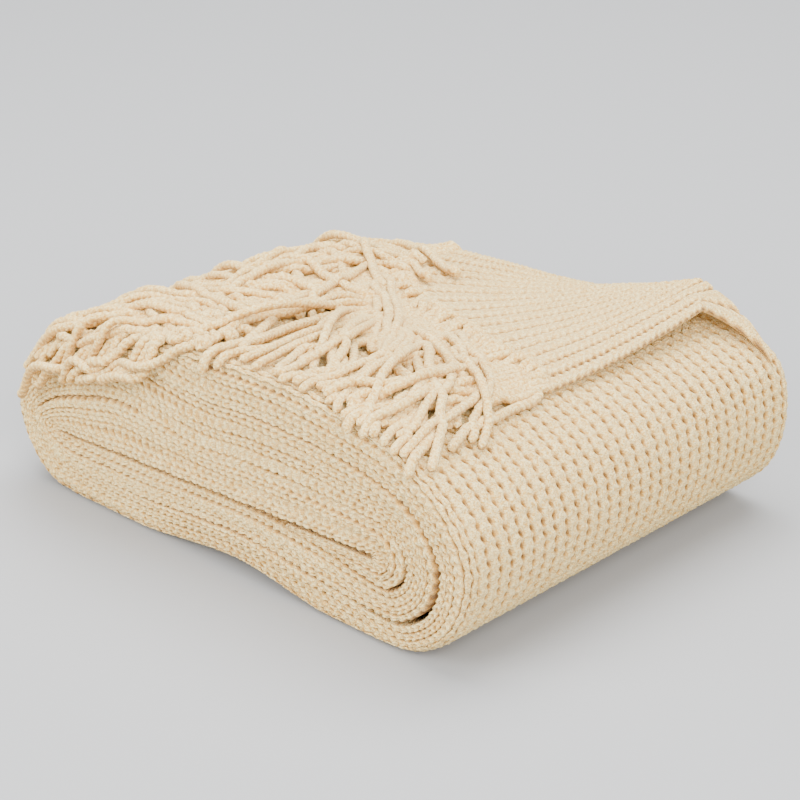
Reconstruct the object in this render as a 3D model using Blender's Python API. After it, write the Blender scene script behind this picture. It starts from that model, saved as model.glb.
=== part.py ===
"""Chunky knitted chenille throw, folded in four and rolled flat, as solids.

Metres, +Z up, standing on z = 0. The roll's axis is Y, its width is X, and the wound
end with the open turns faces -Y. Run with: blender --background --python part.py
"""
import math
import random

import bmesh
import bpy
import numpy as np

# The throw, laid flat.
THROW_WIDTH = 1.28
LAYERS = 4
RIB_PITCH = 0.010
RIB_HEIGHT = 0.0022
LAYER_THICKNESS = 0.0062

# The roll: one folded strip, wound flat.
ROLL_LENGTH = THROW_WIDTH / LAYERS
HALF_LENGTH = ROLL_LENGTH / 2
RIBS = round(ROLL_LENGTH / RIB_PITCH)
EDGE_ROUNDING = 0.010
TURN_GAP = 0.0013

# The section's outline at each end, clockwise from the upper left, as (x, z).
NEAR_OUTLINE = [
    (-0.156, 0.108), (-0.100, 0.128), (-0.040, 0.142), (0.030, 0.148), (0.095, 0.144),
    (0.151, 0.131), (0.191, 0.105), (0.2085, 0.070), (0.198, 0.031), (0.169, 0.006),
    (0.135, 0.0), (0.085, 0.0), (0.010, 0.009), (-0.080, 0.0), (-0.145, 0.0),
    (-0.181, 0.006), (-0.203, 0.030), (-0.2085, 0.058), (-0.190, 0.086),
]
FAR_OUTLINE = [
    (-0.150, 0.098), (-0.100, 0.106), (-0.040, 0.109), (0.030, 0.110), (0.090, 0.117),
    (0.146, 0.122), (0.190, 0.107), (0.2085, 0.075), (0.200, 0.034), (0.168, 0.006),
    (0.135, 0.0), (0.085, 0.0), (0.010, 0.004), (-0.080, 0.0), (-0.145, 0.0),
    (-0.178, 0.006), (-0.200, 0.029), (-0.2060, 0.056), (-0.188, 0.080),
]
SHOULDER_CROWN = 0.009
CROWN_X = (0.030, -0.130)
FLOOR_FROM = 10
FLOOR_TO = 14
SAMPLES = 2

# The line that the turns close in on, at each end of the roll.
CORE_LEFT = -0.165
CORE_RIGHT = 0.130
CORE_HEIGHT_NEAR = (0.045, 0.058)
CORE_HEIGHT_FAR = (0.040, 0.050)
CORE_SPREAD = 0.8
TURNS = 3
RAMP_FROM = 0.5
RAMP_SPANS = 2.2
STRIP_START_SPAN = 1.0
STRIP_END_SPAN = 11.0
LEFT_FROM = 9.0
LEFT_FADE = 3.0
LEFT_DEPTHS = (0.50, 0.985)
CORE_DEPTH = 0.975
SLACK = 0.0028
SLACK_SPANS = (6.0, 10.5)

# The loose end: one layer fanned over the top, from its near selvage to its back one.
# Rows are where its ribs start, what they bend towards, and where the fringe begins.
FAN_START = [(0.160, 0.157), (0.142, 0.158), (0.122, 0.158), (0.100, 0.158),
             (0.078, 0.158), (0.060, 0.158), (0.046, 0.158), (0.036, 0.158)]
FAN_BEND = [(0.164, 0.060), (0.145, 0.070), (0.122, 0.080), (0.097, 0.092),
            (0.070, 0.106), (0.040, 0.118), (0.010, 0.134), (-0.020, 0.152)]
FAN_ROOT = [(0.157, -0.033), (0.136, -0.018), (0.103, -0.012), (0.066, 0.004),
            (0.020, 0.022), (-0.032, 0.048), (-0.066, 0.094), (-0.080, 0.150)]
FAN_LIFT = 0.019
FAN_LIFT_REACH = 0.85
FAN_ROWS = 9
CORNER_REACH = 0.040
CORNER_ACROSS = 0.13
CORNER_ALONG = 0.16
CORNER_LIES = 0.22
CLOTH_CLEARANCE = 0.0008

# Fringe: one yarn to a strand.
STRAND_RADIUS = 0.0030
STRAND_SIDES = 3
STRAND_STEPS = 8
STRAND_CLEARANCE = 0.0004
FINE_STEPS = 6
UPPER_SLOPE = 1.0
LOWER_SLOPE = 0.38
ROOT_REACH = 0.009
BACKING_WIDTH = 0.0050
BACKING_THICKNESS = 0.0046
BACKING_GAP = 0.0006
UPPER_STRANDS = 60
LOWER_STRANDS = 28
UPPER_LAYERS = 3
LOWER_LAYERS = 2
STRAND_ROOM = 0.0075
LOWER_ROOT_X = -0.047
LOWER_ROOT_Y = (-0.150, 0.010)
NEAR_LIMIT = -0.157
LEFT_LIMIT = -0.208

CREAM = (0.74, 0.61, 0.45, 1.0)


def smooth_step(value):
    """Ease from 0 to 1."""
    value = np.clip(value, 0.0, 1.0)
    return value * value * (3.0 - 2.0 * value)


def spline(points, steps, closed):
    """Catmull-Rom curve through the points, with steps samples to each span."""
    points = np.array(points, float)
    count = len(points)
    spans = count if closed else count - 1
    result = []
    for span in range(spans):
        picks = [span - 1, span, span + 1, span + 2]
        if closed:
            before, start, end, after = (points[pick % count] for pick in picks)
        else:
            before, start, end, after = (points[min(max(pick, 0), count - 1)] for pick in picks)
        for step in range(steps):
            t = step / steps
            result.append(0.5 * (2.0 * start + (end - before) * t
                                 + (2.0 * before - 5.0 * start + 4.0 * end - after) * t ** 2
                                 + (3.0 * (start - end) + after - before) * t ** 3))
    if not closed:
        result.append(points[-1])
    return np.array(result)


def row_at(rows, share):
    """The point of an open spline at a share of its length in spans."""
    place = min(max(share, 0.0), 1.0) * (len(rows) - 1)
    index = min(int(place), len(rows) - 2)
    return rows[index] + (rows[index + 1] - rows[index]) * (place - index)


NEAR = spline(NEAR_OUTLINE, SAMPLES, True)
FAR = spline(FAR_OUTLINE, SAMPLES, True)
ROUND = len(NEAR)


def flatten_floor(curve):
    """Keep the two resting stretches on the floor and nothing below it."""
    flat = curve.copy()
    flat[:, 1] = np.maximum(flat[:, 1], 0.0)
    for span in (FLOOR_FROM, FLOOR_TO - 1):
        flat[span * SAMPLES:(span + 1) * SAMPLES + 1, 1] = 0.0
    return flat


NEAR = flatten_floor(NEAR)
FAR = flatten_floor(FAR)


def share_along(y):
    """0 at the near end of the roll, 1 at the far end."""
    return min(max((y + HALF_LENGTH) / ROLL_LENGTH, 0.0), 1.0)


def outline_at(y):
    """The roll's outer outline in the section at y."""
    share = share_along(y)
    curve = NEAR * (1.0 - share) + FAR * share
    leftness = smooth_step((curve[:, 0] - CROWN_X[0]) / (CROWN_X[1] - CROWN_X[0]))
    upper = smooth_step(curve[:, 1] / 0.080 - 0.4)
    curve[:, 1] += SHOULDER_CROWN * 4.0 * share * (1.0 - share) * leftness * upper
    return curve


def core_point(x, y):
    """Where the turns would end if the outline at x closed all the way in."""
    share = share_along(y)
    low = CORE_HEIGHT_NEAR[0] * (1.0 - share) + CORE_HEIGHT_FAR[0] * share
    high = CORE_HEIGHT_NEAR[1] * (1.0 - share) + CORE_HEIGHT_FAR[1] * share
    inner = min(max(x * CORE_SPREAD, CORE_LEFT), CORE_RIGHT)
    return np.array((inner, low + (high - low) * (inner - CORE_LEFT) / (CORE_RIGHT - CORE_LEFT)))


def boundary_depth(turn, index):
    """How far in the boundary before a turn lies, from 0 outside to 1 at the core."""
    if turn <= 0:
        return 0.0
    if turn >= TURNS:
        return CORE_DEPTH
    span = index / SAMPLES
    nearness = max(smooth_step((span - LEFT_FROM) / LEFT_FADE), 1.0 - smooth_step(span / LEFT_FADE))
    even = turn / TURNS
    return even + (LEFT_DEPTHS[turn - 1] - even) * nearness


def outer_depth(index):
    """Depth of the strip's outer face after index samples of winding."""
    turn, place = divmod(index, ROUND)
    ramp = smooth_step((place / SAMPLES - RAMP_FROM) / RAMP_SPANS)
    outside = boundary_depth(turn - 1, place)
    return outside + (boundary_depth(turn, place) - outside) * ramp


def gap_inside(index):
    """Gap between the strip and the turn inside it, slack round the right-hand bend."""
    turn, place = divmod(index, ROUND)
    start, stop = SLACK_SPANS
    share = np.clip((place / SAMPLES - start) / (stop - start), 0.0, 1.0)
    return TURN_GAP + SLACK * math.sin(math.pi * share) / (turn + 1)


def winding_point(index, depth, y):
    """A point of the section at y, in line with an outline sample, at a depth."""
    outer = outline_at(y)[index % ROUND]
    return outer + (core_point(outer[0], y) - outer) * depth


def outline_normal(index, y):
    """The outward direction of the outline in the section at y."""
    curve = outline_at(y)
    ahead = curve[(index + 1) % ROUND] - curve[(index - 1) % ROUND]
    return np.array((-ahead[1], ahead[0])) / max(np.linalg.norm(ahead), 1e-9)


def skin_point(index, y, swell):
    """A point of the ribbed skin: furrows are cut in, and the roll's ends are rounded."""
    point = winding_point(index, outer_depth(index), y)
    column = round((y + HALF_LENGTH) / (RIB_PITCH / 2))
    furrow = RIB_HEIGHT if column % 2 == 0 else 0.0
    edge = np.clip((abs(y) - (HALF_LENGTH - EDGE_ROUNDING)) / EDGE_ROUNDING, 0.0, 1.0)
    rounding = EDGE_ROUNDING * (1.0 - math.sqrt(1.0 - edge * edge))
    return point - outline_normal(index, y) * (furrow + rounding) * swell


def new_object(name, mesh, material, collection):
    """Link a mesh under its name, with its material."""
    item = bpy.data.objects.new(name, mesh)
    mesh.materials.append(material)
    collection.objects.link(item)
    return item


def finish_mesh(name, shape):
    """Turn a bmesh into a mesh with its faces outwards."""
    bmesh.ops.recalc_face_normals(shape, faces=shape.faces)
    mesh = bpy.data.meshes.new(name)
    shape.to_mesh(mesh)
    shape.free()
    return mesh


def build_roll(material, collection):
    """The wound strip: ribbed outside, open between its turns, flat where it rests."""
    shape = bmesh.new()
    first = int(STRIP_START_SPAN * SAMPLES)
    last = int(2 * ROUND + STRIP_END_SPAN * SAMPLES)
    tuck = ROUND + first - 1
    patches = ((first + 1, FLOOR_FROM * SAMPLES), (FLOOR_TO * SAMPLES, tuck))
    rows = [-HALF_LENGTH + RIB_PITCH / 2 * column for column in range(2 * RIBS + 1)]
    ends = (rows[0], rows[-1])

    def patch_of(index):
        for start, stop in patches:
            if start <= index <= stop:
                return start, stop
        return None

    def swell(index):
        start, stop = patch_of(index)
        rise = min(index - start + (1.0 if start == first + 1 else 0.0), stop - index)
        return min(rise / 2.0, 1.0)

    outer = {}
    inner = {}
    for index in range(first, last + 1):
        depth = outer_depth(index)
        if patch_of(index):
            points = [(skin_point(index, y, swell(index)), y) for y in rows]
        else:
            points = [(winding_point(index, depth, y), y) for y in ends]
        outer[index] = [shape.verts.new((p[0], y, p[1])) for p, y in points]
        inner[index] = []
        for y in ends:
            across = np.linalg.norm(winding_point(index, 1.0, y) - winding_point(index, 0.0, y))
            inside = outer_depth(index + ROUND) - gap_inside(index) / across
            point = winding_point(index, inside, y)
            inner[index].append(shape.verts.new((point[0], y, point[1])))

    for index in range(first, last):
        here, there = outer[index], outer[index + 1]
        if len(here) == len(there):
            for row in range(len(here) - 1):
                shape.faces.new((here[row], here[row + 1], there[row + 1], there[row]))
        else:
            shape.faces.new(here + there[::-1])
        low, high = inner[index], inner[index + 1]
        shape.faces.new((low[0], high[0], high[1], low[1]))
        for side in (0, -1):
            shape.faces.new((here[side], there[side], high[side], low[side]))
    for index in (first, last):
        shape.faces.new((outer[index][0], outer[index][-1], inner[index][1], inner[index][0]))
    return new_object("rolled_throw", finish_mesh("rolled_throw", shape), material, collection)


GRID_STEP = 0.002
GRID_X = np.arange(-0.26, 0.2601, GRID_STEP)
GRID_Y = np.arange(-HALF_LENGTH - 0.01, HALF_LENGTH + 0.0101, GRID_STEP)


def height_grid(clearance):
    """Height of the roll's top over the plan, raised by a ball of the given radius."""
    heights = []
    for y in GRID_Y:
        curve = outline_at(y)
        left, right = int(np.argmin(curve[:, 0])), int(np.argmax(curve[:, 0]))
        chain = np.array([curve[i % ROUND] for i in range(left, right + ROUND + 1)]
                         if right < left else curve[left:right + 1])
        chain = chain[np.argsort(chain[:, 0])]
        top = np.interp(GRID_X, chain[:, 0], chain[:, 1], left=-0.2, right=-0.2)
        raised = top + clearance
        reach = int(clearance / GRID_STEP)
        for shift in range(-reach, reach + 1):
            ball = math.sqrt(clearance ** 2 - (shift * GRID_STEP) ** 2)
            raised = np.maximum(raised, np.roll(top, shift) + ball)
        heights.append(raised)
    return np.array(heights)


def look_up(grid, x, y):
    """Bilinear look-up in a height grid."""
    across = np.clip((x - GRID_X[0]) / GRID_STEP, 0, len(GRID_X) - 1.001)
    along = np.clip((y - GRID_Y[0]) / GRID_STEP, 0, len(GRID_Y) - 1.001)
    i, j = across.astype(int), along.astype(int)
    u, v = across - i, along - j
    return ((grid[j, i] * (1 - u) + grid[j, i + 1] * u) * (1 - v)
            + (grid[j + 1, i] * (1 - u) + grid[j + 1, i + 1] * u) * v)


def corner_share(across, along):
    """1 at the loose end's far right corner, fading along its first ribs."""
    return max(0.0, 1.0 - across / CORNER_ACROSS) * max(0.0, 1.0 - along / CORNER_ALONG) ** 2


def fan_plan(across, along):
    """Plan point of the loose end: across from its near selvage, along from its start."""
    start = row_at(FAN_START_CURVE, across)
    bend = row_at(FAN_BEND_CURVE, across)
    root = row_at(FAN_ROOT_CURVE, across)
    plan = start * (1 - along) ** 2 + bend * 2 * along * (1 - along) + root * along ** 2
    return plan + np.array((CORNER_REACH * corner_share(across, along), 0.0))


FAN_START_CURVE = spline(FAN_START, 8, False)
FAN_BEND_CURVE = spline(FAN_BEND, 8, False)
FAN_ROOT_CURVE = spline(FAN_ROOT, 8, False)


def fan_lift(across, along):
    """How far the loose end stands off the roll, most behind its far right corner."""
    lift = FAN_LIFT * max(0.0, 1.0 - across / FAN_LIFT_REACH) * max(0.0, 1.0 - along) ** 1.5
    corner = max(0.0, 1.0 - across / CORNER_LIES) * max(0.0, 1.0 - along / CORNER_ALONG)
    return lift * (1.0 - 0.95 * corner)


def build_loose_end(grid, material, collection):
    """The fanned layer, ribbed on top, lying just clear of the roll."""
    shape = bmesh.new()
    columns = 2 * RIBS
    tops = []
    bottoms = []
    for column in range(columns + 1):
        across = column / columns
        furrow = RIB_HEIGHT * 0.8 if column % 2 == 0 else 0.0
        top = []
        bottom = []
        for row in range(FAN_ROWS + 1):
            along = (row / FAN_ROWS) ** 1.5
            plan = fan_plan(across, along)
            base = float(look_up(grid, plan[:1], plan[1:])[0]) + fan_lift(across, along)
            top.append(shape.verts.new((plan[0], plan[1], base + LAYER_THICKNESS - furrow)))
            bottom.append(shape.verts.new((plan[0], plan[1], base)))
        tops.append(top)
        bottoms.append(bottom)
    for column in range(columns):
        for row in range(FAN_ROWS):
            for sheet in (tops, bottoms):
                shape.faces.new((sheet[column][row], sheet[column + 1][row],
                                 sheet[column + 1][row + 1], sheet[column][row + 1]))
        for row in (0, FAN_ROWS):
            shape.faces.new((tops[column][row], tops[column + 1][row],
                             bottoms[column + 1][row], bottoms[column][row]))
    for column in (0, columns):
        for row in range(FAN_ROWS):
            shape.faces.new((tops[column][row], tops[column][row + 1],
                             bottoms[column][row + 1], bottoms[column][row]))
    return new_object("loose_end", finish_mesh("loose_end", shape), material, collection)


def stamp(grid, points, reach):
    """Raise a height grid so that it clears every point by the reach."""
    span = int(reach / GRID_STEP) + 1
    for x, y, z in points:
        i = int(round((x - GRID_X[0]) / GRID_STEP))
        j = int(round((y - GRID_Y[0]) / GRID_STEP))
        rows = slice(max(j - span, 0), max(j + span + 1, 0))
        columns = slice(max(i - span, 0), max(i + span + 1, 0))
        away = np.hypot(GRID_X[columns][None, :] - x, GRID_Y[rows][:, None] - y)
        ball = z + np.sqrt(np.maximum(reach ** 2 - away ** 2, 0.0))
        grid[rows, columns] = np.where(away < reach, np.maximum(grid[rows, columns], ball),
                                       grid[rows, columns])


def fine_plan(plan):
    """A route's plan points at close steps."""
    steps = len(plan) - 1
    shares = np.linspace(0.0, steps, steps * FINE_STEPS + 1)
    return np.column_stack([np.interp(shares, range(steps + 1), plan[:, axis])
                            for axis in (0, 1)]), shares


def lay(grid, plan, root_height, layer, slope):
    """Heights for a route, over the grid and its layer, from its root in the backing."""
    fine, shares = fine_plan(plan)
    need = np.maximum(look_up(grid, fine[:, 0], fine[:, 1]), STRAND_RADIUS)
    need += layer * (2 * STRAND_RADIUS + STRAND_CLEARANCE)
    pace = np.hypot(*np.diff(fine, axis=0).T)
    walked = np.append(0.0, np.cumsum(pace))
    rooted = walked < ROOT_REACH
    need[rooted] = np.minimum(need[rooted], root_height + slope * walked[rooted])
    need[0] = root_height
    for i in range(1, len(need)):
        need[i] = max(need[i], need[i - 1] - slope * pace[i - 1])
    for i in range(len(need) - 2, 0, -1):
        need[i] = max(need[i], need[i + 1] - slope * pace[i])
    steps = len(plan) - 1
    heights = need[::FINE_STEPS].copy()
    for _ in range(3):
        lack = need - np.interp(shares, range(steps + 1), heights)
        lift = [0.0] + [0.6 * max(0.0, lack[(i - 1) * FINE_STEPS:(i + 1) * FINE_STEPS + 1].max())
                        for i in range(1, steps + 1)]
        heights += lift
    return np.column_stack((plan, heights))


def fine_points(points):
    """A strand's axis at close steps."""
    steps = len(points) - 1
    shares = np.linspace(0.0, steps, steps * FINE_STEPS + 1)
    return np.column_stack([np.interp(shares, range(steps + 1), points[:, axis])
                            for axis in range(3)])


def closest(plan, others):
    """Least plan distance between a route, past its root, and other routes."""
    if not others:
        return 1.0
    fine = fine_plan(plan)[0][FINE_STEPS // 2:]
    rest = np.vstack([fine_plan(other)[0] for other in others])
    return float(np.min(np.hypot(fine[:, :1] - rest[:, 0], fine[:, 1:] - rest[:, 1])))


def settle(make_route, count, layers):
    """Routes in layers, fewer in the second half, redrawn until none of one layer cross."""
    routes = []
    for number in range(count):
        layer = number % (layers if number < count / 2 else 2)
        fellows = [route for route, other in routes if other == layer]
        best = max((make_route(number) for _ in range(24)),
                   key=lambda plan: min(closest(plan, fellows), STRAND_ROOM))
        routes.append((best, layer))
    return routes


def wander(root, start, end, length, chance):
    """Plan route of a strand: its heading eases from start to end, with a little sway."""
    sway = math.radians(chance.uniform(8, 26)) * chance.choice((-1, 1))
    phase = chance.uniform(0.0, 1.0)
    points = [np.array(root)]
    for step in range(STRAND_STEPS):
        share = (step + 0.5) / STRAND_STEPS
        heading = start + (end - start) * share
        heading += sway * share * math.sin(2 * math.pi * (share + phase))
        stride = length / STRAND_STEPS
        points.append(points[-1] + stride * np.array((math.cos(heading), math.sin(heading))))
    return cut_at_limits(np.array(points), chance)


def cut_at_limits(points, chance):
    """Shorten a route that would hang far over the roll's near or left side."""
    low_x = LEFT_LIMIT + 0.010 * chance.random()
    low_y = NEAR_LIMIT + 0.012 * chance.random()
    share = 1.0
    for start, end in zip(range(STRAND_STEPS), range(1, STRAND_STEPS + 1)):
        for axis, low in ((0, low_x), (1, low_y)):
            before, after = points[start][axis], points[end][axis]
            if after < low <= before:
                share = min(share, (start + (before - low) / (before - after)) / STRAND_STEPS)
    places = np.linspace(0.0, share * STRAND_STEPS, STRAND_STEPS + 1)
    return np.column_stack([np.interp(places, range(STRAND_STEPS + 1), points[:, axis])
                            for axis in (0, 1)])


def even_shares(count):
    """Shares across the loose end that lie evenly along its fringed edge."""
    shares = np.linspace(0.0, 1.0, 201)
    edge = np.array([fan_plan(share, 1.0) for share in shares])
    walked = np.append(0.0, np.cumsum(np.hypot(*np.diff(edge, axis=0).T)))
    return np.interp((np.arange(count) + 0.5) / count * walked[-1], walked, shares)


def upper_routes():
    """Routes and layers of the strands at the end of the fanned layer."""
    chance = random.Random(7)
    shares = even_shares(UPPER_STRANDS)

    def route(number):
        across = shares[number]
        start = np.interp(across, (0.0, 0.3, 0.5, 0.7, 1.0), (-94, -94, -104, -134, -176))
        end = np.interp(across, (0.0, 0.3, 0.5, 0.7, 1.0), (-90, -78, -76, -90, -150))
        length = chance.uniform(0.112, 0.150)
        root = backing_point(across)
        return wander(root, math.radians(start + chance.uniform(-9, 9)),
                      math.radians(end + chance.uniform(-30, 26)), length, chance)

    return settle(route, UPPER_STRANDS, UPPER_LAYERS)


def lower_routes():
    """Routes and layers of the strands that fall over the roll's left shoulder."""
    chance = random.Random(21)

    def route(number):
        share = (number + 0.5) / LOWER_STRANDS
        root = (LOWER_ROOT_X, LOWER_ROOT_Y[0] + (LOWER_ROOT_Y[1] - LOWER_ROOT_Y[0]) * share)
        freedom = 0.25 + 0.75 * share
        start = 180 + chance.uniform(-12, 12) * freedom
        end = 177 + chance.uniform(-30, 26) * freedom
        return wander(root, math.radians(start), math.radians(end),
                      chance.uniform(0.115, 0.160), chance)

    return settle(route, LOWER_STRANDS, LOWER_LAYERS)


def backing_point(across):
    """Plan point of the upper backing's middle, just past the loose end's edge."""
    root = fan_plan(across, 1.0)
    along = fan_plan(min(across + 0.01, 1.0), 1.0) - fan_plan(max(across - 0.01, 0.0), 1.0)
    outward = np.array((along[1], -along[0])) / np.linalg.norm(along)
    if np.dot(outward, root - fan_plan(across, 0.9)) < 0:
        outward = -outward
    return root + outward * (BACKING_GAP + BACKING_WIDTH / 2)


def tube(shape, points, radius, sides):
    """A closed tube with flat ends along the points."""
    rings = []
    for i, point in enumerate(points):
        ahead = points[min(i + 1, len(points) - 1)] - points[max(i - 1, 0)]
        ahead = ahead / np.linalg.norm(ahead)
        side = np.cross(ahead, (0.0, 0.0, 1.0))
        side = side / np.linalg.norm(side)
        up = np.cross(side, ahead)
        ring = []
        for corner in range(sides):
            angle = math.pi / 2 + 2 * math.pi * corner / sides
            ring.append(shape.verts.new(point + radius * (math.cos(angle) * side
                                                          + math.sin(angle) * up)))
        rings.append(ring)
    for low, high in zip(rings, rings[1:]):
        for corner in range(sides):
            following = (corner + 1) % sides
            shape.faces.new((low[corner], low[following], high[following], high[corner]))
    shape.faces.new(rings[0])
    shape.faces.new(rings[-1])


def backing(shape, middles):
    """A flat strip along its middle points."""
    rings = []
    for i, point in enumerate(middles):
        ahead = middles[min(i + 1, len(middles) - 1)] - middles[max(i - 1, 0)]
        side = np.array((ahead[1], -ahead[0], 0.0))
        side = side / np.linalg.norm(side) * BACKING_WIDTH / 2
        lift = np.array((0.0, 0.0, BACKING_THICKNESS / 2))
        rings.append([shape.verts.new(point + corner)
                      for corner in (side + lift, side - lift, -side - lift, -side + lift)])
    for low, high in zip(rings, rings[1:]):
        for corner in range(4):
            following = (corner + 1) % 4
            shape.faces.new((low[corner], low[following], high[following], high[corner]))
    shape.faces.new(rings[0])
    shape.faces.new(rings[-1])


def build_fringe(name, middles, strands, material, collection):
    """Strands fused at their roots into one narrow backing."""
    shape = bmesh.new()
    backing(shape, middles)
    item = new_object(name, finish_mesh(name, shape), material, collection)
    shape = bmesh.new()
    for points in strands:
        tube(shape, points, STRAND_RADIUS, STRAND_SIDES)
    helper = new_object(name + "_strands", finish_mesh(name + "_strands", shape),
                        material, collection)
    helper.hide_render = True
    helper.hide_viewport = True
    fuse = item.modifiers.new("fuse", "BOOLEAN")
    fuse.operation = "UNION"
    fuse.solver = "EXACT"
    fuse.use_self = True
    fuse.object = helper
    return item


def strip_heights(grid, plan):
    """Heights that keep a backing's middle clear of what lies under it."""
    rise = BACKING_THICKNESS / 2 - STRAND_RADIUS + STRAND_CLEARANCE
    return np.column_stack((plan, look_up(grid, plan[:, 0], plan[:, 1]) + rise))


def build_fringes(cloth_grid, grid, material, collection):
    """The lower fringe first, then the upper one over it and over the loose end."""
    contact = 2 * STRAND_RADIUS + STRAND_CLEARANCE
    plan = np.array([(LOWER_ROOT_X, y) for y in np.linspace(LOWER_ROOT_Y[0], LOWER_ROOT_Y[1], 7)])
    lower_backing = strip_heights(grid, plan)
    lower = []
    for route, layer in lower_routes():
        height = np.interp(route[0][1], lower_backing[:, 1], lower_backing[:, 2])
        lower.append(lay(grid, route, height, layer, LOWER_SLOPE))
    for points in lower + [lower_backing]:
        stamp(grid, fine_points(points), contact)

    shares = np.linspace(0.0, 1.0, 33)
    plan = np.array([backing_point(share) for share in shares])
    upper_backing = strip_heights(grid, plan)
    for across in np.linspace(0.0, 1.0, 90):
        rows = np.array([fan_plan(across, along) for along in np.linspace(0.0, 1.0, 60)])
        base = look_up(cloth_grid, rows[:, 0], rows[:, 1])
        lifts = [fan_lift(across, along) for along in np.linspace(0.0, 1.0, 60)]
        cloth = np.column_stack((rows, base + lifts + np.full(60, LAYER_THICKNESS / 2)))
        stamp(grid, cloth, LAYER_THICKNESS / 2 + STRAND_RADIUS + 2 * STRAND_CLEARANCE)
    upper = []
    roots = even_shares(UPPER_STRANDS)
    for across, (route, layer) in zip(roots, upper_routes()):
        height = np.interp(across, shares, upper_backing[:, 2])
        upper.append(lay(grid, route, height, layer, UPPER_SLOPE))
    build_fringe("lower_fringe", lower_backing, lower, material, collection)
    build_fringe("upper_fringe", upper_backing, upper, material, collection)


def chenille():
    """Matt cream chenille yarn."""
    material = bpy.data.materials.new("chenille")
    material.use_nodes = True
    shader = material.node_tree.nodes["Principled BSDF"]
    shader.inputs["Base Color"].default_value = CREAM
    shader.inputs["Roughness"].default_value = 0.95
    shader.inputs["Metallic"].default_value = 0.0
    return material


def main():
    for item in list(bpy.data.objects):
        bpy.data.objects.remove(item)
    collection = bpy.data.collections.new("throw")
    bpy.context.scene.collection.children.link(collection)
    material = chenille()
    build_roll(material, collection)
    cloth_grid = height_grid(CLOTH_CLEARANCE)
    build_loose_end(cloth_grid, material, collection)
    build_fringes(cloth_grid, height_grid(STRAND_RADIUS + STRAND_CLEARANCE), material, collection)


main()
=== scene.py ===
"""A chunky chenille throw, folded in four and rolled flat, with its fringe on top.

Metres, +Z up. The roll's axis is Y, and the wound end with the open turns faces -Y.
"""
import math
import random

import bpy
import numpy as np
from mathutils import Matrix, Vector


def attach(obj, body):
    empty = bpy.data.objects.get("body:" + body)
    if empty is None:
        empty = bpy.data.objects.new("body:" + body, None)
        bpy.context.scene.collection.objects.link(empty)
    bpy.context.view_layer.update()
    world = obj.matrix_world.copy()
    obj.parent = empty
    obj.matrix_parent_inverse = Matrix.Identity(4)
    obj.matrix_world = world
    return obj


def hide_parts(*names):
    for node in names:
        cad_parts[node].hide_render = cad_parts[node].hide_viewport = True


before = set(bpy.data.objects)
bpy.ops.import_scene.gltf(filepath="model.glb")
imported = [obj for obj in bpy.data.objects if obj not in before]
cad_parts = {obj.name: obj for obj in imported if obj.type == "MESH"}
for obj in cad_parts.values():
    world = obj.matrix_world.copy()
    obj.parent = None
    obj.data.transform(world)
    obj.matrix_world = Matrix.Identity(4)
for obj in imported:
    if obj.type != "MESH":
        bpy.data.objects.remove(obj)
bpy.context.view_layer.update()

# The throw, laid flat.
THROW_WIDTH = 1.28
LAYERS = 4
RIB_PITCH = 0.010
COURSE = 0.0070
LAYER_THICKNESS = 0.0062

# The roll: one folded strip, wound flat.
ROLL_LENGTH = THROW_WIDTH / LAYERS
HALF_LENGTH = ROLL_LENGTH / 2
RIBS = round(ROLL_LENGTH / RIB_PITCH)
EDGE_ROUNDING = 0.010
TURN_GAP = 0.0004

# The section's outline at each end, clockwise from the upper left, as (x, z).
NEAR_OUTLINE = [
    (-0.156, 0.108), (-0.100, 0.128), (-0.040, 0.142), (0.030, 0.148), (0.095, 0.144),
    (0.151, 0.131), (0.191, 0.105), (0.2085, 0.070), (0.198, 0.031), (0.169, 0.006),
    (0.135, 0.0), (0.085, 0.0), (0.010, 0.009), (-0.080, 0.0), (-0.145, 0.0),
    (-0.181, 0.006), (-0.203, 0.030), (-0.2085, 0.058), (-0.190, 0.086),
]
FAR_OUTLINE = [
    (-0.150, 0.098), (-0.100, 0.106), (-0.040, 0.109), (0.030, 0.110), (0.090, 0.117),
    (0.150, 0.127), (0.197, 0.111), (0.2095, 0.075), (0.200, 0.034), (0.168, 0.006),
    (0.135, 0.0), (0.085, 0.0), (0.010, 0.004), (-0.080, 0.0), (-0.145, 0.0),
    (-0.178, 0.006), (-0.200, 0.029), (-0.2060, 0.056), (-0.188, 0.080),
]
SPANS = len(NEAR_OUTLINE)
SHOULDER_CROWN = 0.009
CROWN_X = (0.030, -0.130)
CROWN_RISE = 0.080
CROWN_START = 0.4
RESTING_SPANS = (10, 13)

# The line that the turns close in on, at each end of the roll.
CORE_LEFT = -0.165
CORE_RIGHT = 0.130
CORE_HEIGHT_NEAR = (0.045, 0.058)
CORE_HEIGHT_FAR = (0.040, 0.050)
CORE_SPREAD = 0.8
TURNS = 3
RAMP_FROM = 0.5
RAMP_SPANS = 2.2
STRIP_START = 1.0
STRIP_END = 2 * SPANS + 11.2
LEFT_FROM = 9.0
LEFT_FADE = 3.0
CORE_DEPTH = 0.985
EVEN_DEPTHS = (0.0, 1 / 3, 2 / 3, 0.990)
LEFT_DEPTHS = (0.0, 0.50, 0.985, 0.998)
SLACK = 0.0028
SLACK_SPANS = (6.0, 10.5)
WALKING_STEPS = 60
WALKING_DEPTH = 0.3

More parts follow.
